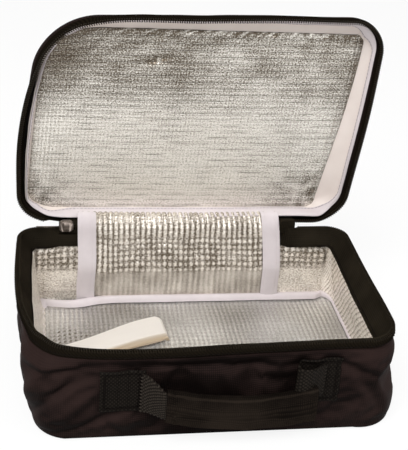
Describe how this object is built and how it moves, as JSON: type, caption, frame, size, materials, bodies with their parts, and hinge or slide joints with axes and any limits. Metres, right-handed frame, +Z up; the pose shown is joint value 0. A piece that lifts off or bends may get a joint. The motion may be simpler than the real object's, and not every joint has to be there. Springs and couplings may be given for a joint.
{
  "type": "insulated lunch tote",
  "caption": "Soft padded lunch box with a zip-round lid on a fabric hinge, silver foil lining, white seam bindings, a web handle on the front and an elastic strap inside.",
  "frame": {"origin": "centre of the flat underside of the bottom panel", "axes": "+X to the right of someone who faces the handle, +Y to the hinge, +Z up"},
  "size_m": [0.2606, 0.207, 0.2391],
  "materials": {
    "outer_fabric": "plain-weave polyester, matt",
    "webbing": "basket-weave webbing",
    "zip_tape": "herringbone zip tape",
    "zip_coil": "coiled nylon teeth",
    "foam": "closed-cell sheet",
    "foil_film": "metallised embossed film",
    "white_film": "smooth white film",
    "white_binding": "woven binding tape",
    "elastic": "knitted elastic",
    "slider_metal": "dark enamelled zinc"
  },
  "bodies": {
    "base": {"bottom_panel": "outer_fabric", "wall_band": "outer_fabric", "foam_wall": "foam", "foam_floor": "foam", "lining_floor": "foil_film", "lining_wrap": "foil_film", "back_lining": "foil_film", "back_strip_left": "white_binding", "back_strip_right": "white_binding", "floor_binding": "white_binding", "rim_facing": "outer_fabric", "zip_tape_base": "zip_tape", "zip_coil_base": "zip_coil", "zip_end_tab": "outer_fabric", "hinge_fabric": "outer_fabric", "hinge_lining": "foil_film", "hinge_strip_left": "white_binding", "hinge_strip_right": "white_binding", "handle_anchor_left": "webbing", "handle_anchor_right": "webbing", "strap_patch": "elastic"},
    "lid": {"lid_top_panel": "outer_fabric", "lid_gusset": "outer_fabric", "lid_foam": "foam", "lid_lining": "foil_film", "lid_gusset_lining": "white_film", "lid_binding": "white_binding", "zip_tape_lid": "zip_tape", "zip_coil_lid": "zip_coil"},
    "handle": {"handle_grip": "outer_fabric", "handle_core": "webbing", "handle_web_left": "webbing", "handle_web_right": "webbing"},
    "strap": {"elastic_loop": "elastic"},
    "slider": {"zip_slider": "slider_metal"},
    "pull": {"zip_pull": "slider_metal"}
  },
  "joints": [
    {"name": "lid_hinge", "type": "hinge", "parent": "base", "child": "lid", "pos_m": [0, 0.0855, 0.0703], "axis": [1, 0, 0], "range_deg": [-90, 90], "deforming": ["hinge_fabric", "hinge_lining", "hinge_strip_left", "hinge_strip_right"]},
    {"name": "handle_swing", "type": "hinge", "parent": "base", "child": "handle", "pos_m": [0, -0.0855, 0.038], "axis": [-1, 0, 0], "range_deg": [0, 90], "deforming": ["handle_web_left", "handle_web_right"]},
    {"name": "strap_lift", "type": "hinge", "parent": "base", "child": "strap", "pos_m": [-0.10934, 0.003, 0.0113], "axis": [0.3007, -0.9537, 0], "range_deg": [0, 40]},
    {"name": "slider_slide", "type": "slide", "parent": "base", "child": "slider", "axis": [-1, 0, 0], "range_m": [0, 0.008]},
    {"name": "pull_swing", "type": "hinge", "parent": "slider", "child": "pull", "pos_m": [-0.0898, 0.0869, 0.067], "axis": [0, 0, -1], "range_deg": [0, 110]}
  ]
}
